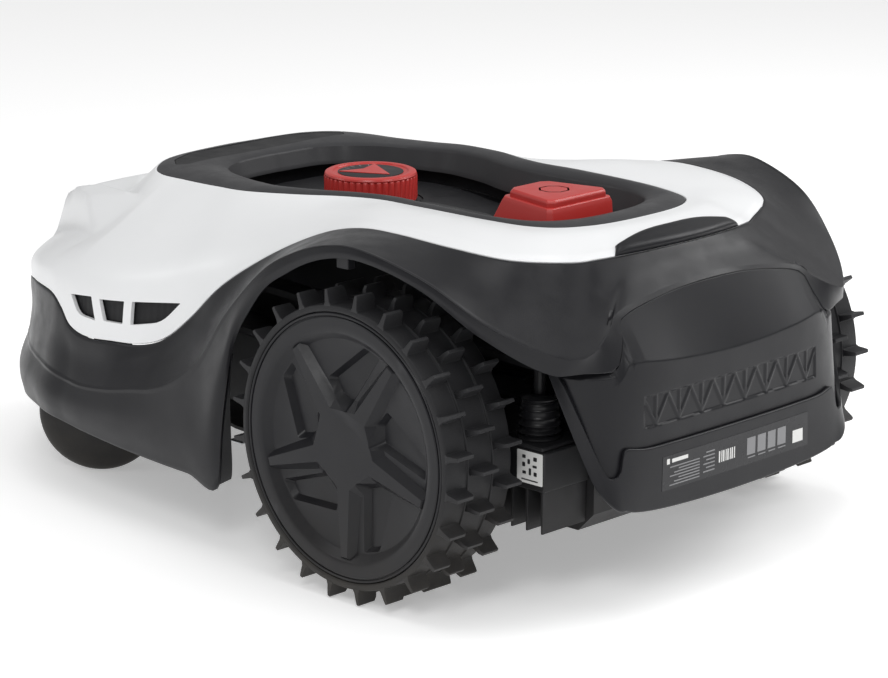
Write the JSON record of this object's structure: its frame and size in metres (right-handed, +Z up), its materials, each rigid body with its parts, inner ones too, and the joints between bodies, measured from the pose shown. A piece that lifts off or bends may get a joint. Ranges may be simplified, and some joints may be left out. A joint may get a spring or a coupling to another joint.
{
  "type": "robotic lawn mower",
  "caption": "Wheeled robotic lawn mower with a floating body shell, lugged drive wheels, swivel casters, a cutting-height knob, a stop switch and a disc with free-swinging blades.",
  "frame": {"origin": "on the ground plane, in the middle of the machine's overall length and width", "axes": "+X forward, from the rear cover to the nose; +Y to the mower's left; +Z up"},
  "size_m": [0.671, 0.439, 0.2525],
  "materials": {
    "white_shell": "semi-gloss moulded",
    "charcoal_shell": "fine satin grain",
    "deck_grey": "fine satin grain",
    "black_trim": "satin",
    "console_black": "satin",
    "keypad_gloss": "semi-gloss film",
    "key_rubber": "soft matt",
    "lens_dark": "polished",
    "tyre_rubber": "dull rubber",
    "boot_rubber": "slightly shiny",
    "wheel_plastic": "satin",
    "caster_plastic": "satin",
    "gear_case": "satin",
    "plain_steel": "brushed",
    "blade_steel": "ground",
    "motor_alloy": "turned",
    "battery_wrap": "shrink film",
    "circuit_board": "solder mask",
    "contact_brass": "plain",
    "signal_red": "satin"
  },
  "bodies": {
    "chassis": {"chassis_tub": "black_trim", "chassis_lid": "black_trim", "console_housing": "console_black", "keypad_panel": "keypad_gloss", "drive_gearbox_left": "gear_case", "drive_gearbox_right": "gear_case", "float_block_left": "black_trim", "float_block_right": "black_trim", "rear_boot_left": "boot_rubber", "rear_boot_right": "boot_rubber", "front_boot_left": "boot_rubber", "front_boot_right": "boot_rubber", "battery_pack": "battery_wrap", "main_board": "circuit_board", "battery_hatch": "black_trim", "charging_socket": "contact_brass", "lid_screw_rear": "plain_steel", "lid_screw_front": "plain_steel"},
    "float_frame": {"float_frame": "black_trim"},
    "shell": {"top_shell": "white_shell", "lower_skirt": "charcoal_shell", "deck_ring": "deck_grey", "deck_ring_inlay": "black_trim", "vent_grille_left": "black_trim", "vent_grille_right": "black_trim", "camera_housing": "white_shell", "camera_lens": "lens_dark", "rear_cover": "charcoal_shell", "rear_grip": "charcoal_shell"},
    "wheel_left": {"tyre_left": "tyre_rubber", "wheel_rim_left": "wheel_plastic", "hub_cap_left": "wheel_plastic", "drive_axle_left": "plain_steel"},
    "wheel_right": {"tyre_right": "tyre_rubber", "wheel_rim_right": "wheel_plastic", "hub_cap_right": "wheel_plastic", "drive_axle_right": "plain_steel"},
    "caster_left": {"caster_fork_left": "caster_plastic", "caster_axle_left": "plain_steel"},
    "caster_right": {"caster_fork_right": "caster_plastic", "caster_axle_right": "plain_steel"},
    "caster_wheel_left": {"caster_wheel_left": "caster_plastic"},
    "caster_wheel_right": {"caster_wheel_right": "caster_plastic"},
    "cutting_deck": {"blade_motor": "motor_alloy", "motor_carriage": "black_trim"},
    "blade_disc": {"blade_disc": "black_trim", "blade_pin_1": "plain_steel", "blade_pin_2": "plain_steel", "blade_pin_3": "plain_steel"},
    "blade_1": {"cutting_blade_1": "blade_steel"},
    "blade_2": {"cutting_blade_2": "blade_steel"},
    "blade_3": {"cutting_blade_3": "blade_steel"},
    "height_knob": {"height_knob": "signal_red", "height_spindle": "plain_steel"},
    "stop_button": {"stop_button": "signal_red", "stop_stem": "black_trim"},
    "key_start": {"key_start": "key_rubber"},
    "key_home": {"key_home": "key_rubber"}
  },
  "joints": [
    {"name": "wheel_left_spin", "type": "hinge", "parent": "chassis", "child": "wheel_left", "pos_m": [-0.169, 0.19, 0.109], "axis": [0, 1, 0], "continuous": true},
    {"name": "wheel_right_spin", "type": "hinge", "parent": "chassis", "child": "wheel_right", "pos_m": [-0.169, -0.19, 0.109], "axis": [0, 1, 0], "continuous": true},
    {"name": "caster_left_swivel", "type": "hinge", "parent": "chassis", "child": "caster_left", "pos_m": [0.182, 0.115, 0.105], "axis": [0, 0, 1], "continuous": true},
    {"name": "caster_left_roll", "type": "hinge", "parent": "caster_left", "child": "caster_wheel_left", "pos_m": [0.19351, 0.12611, 0.047], "axis": [-0.6947, 0.7193, 0], "continuous": true},
    {"name": "caster_right_swivel", "type": "hinge", "parent": "chassis", "child": "caster_right", "pos_m": [0.182, -0.115, 0.105], "axis": [0, 0, 1], "continuous": true},
    {"name": "caster_right_roll", "type": "hinge", "parent": "caster_right", "child": "caster_wheel_right", "pos_m": [0.19351, -0.12611, 0.047], "axis": [0.6947, 0.7193, 0], "continuous": true},
    {"name": "shell_bump", "type": "slide", "parent": "chassis", "child": "float_frame", "axis": [1, 0, 0], "range_m": [-0.006, 0.006], "stiffness_N_per_m": 800},
    {"name": "shell_lift", "type": "slide", "parent": "float_frame", "child": "shell", "axis": [0, 0, 1], "range_m": [0, 0.008]},
    {"name": "cutting_height", "type": "slide", "parent": "chassis", "child": "cutting_deck", "axis": [0, 0, 1], "range_m": [-0.018, 0.018]},
    {"name": "disc_spin", "type": "hinge", "parent": "cutting_deck", "child": "blade_disc", "pos_m": [0.068, 0, 0.04], "axis": [0, 0, 1], "continuous": true},
    {"name": "blade_1_pivot", "type": "hinge", "parent": "blade_disc", "child": "blade_1", "pos_m": [0.068, 0.076, 0.04], "axis": [0, 0, 1], "continuous": true},
    {"name": "blade_2_pivot", "type": "hinge", "parent": "blade_disc", "child": "blade_2", "pos_m": [0.00218, -0.038, 0.04], "axis": [0, 0, 1], "continuous": true},
    {"name": "blade_3_pivot", "type": "hinge", "parent": "blade_disc", "child": "blade_3", "pos_m": [0.13382, -0.038, 0.04], "axis": [0, 0, 1], "continuous": true},
    {"name": "knob_turn", "type": "hinge", "parent": "chassis", "child": "height_knob", "pos_m": [0.0246, 0, 0.217], "axis": [0, 0, 1], "range_deg": [-135, 135]},
    {"name": "stop_press", "type": "slide", "parent": "chassis", "child": "stop_button", "axis": [0, 0, -1], "range_m": [0, 0.004], "stiffness_N_per_m": 800, "springref_m": -0.003},
    {"name": "key_start_press", "type": "slide", "parent": "chassis", "child": "key_start", "axis": [0, 0, -1], "range_m": [0, 0.001], "stiffness_N_per_m": 300, "springref_m": -0.0005},
    {"name": "key_home_press", "type": "slide", "parent": "chassis", "child": "key_home", "axis": [0, 0, -1], "range_m": [0, 0.001], "stiffness_N_per_m": 300, "springref_m": -0.0005}
  ],
  "couplings": [
    {"joint": "knob_turn", "follows": "cutting_height", "rad_per_m": 130.8}
  ]
}
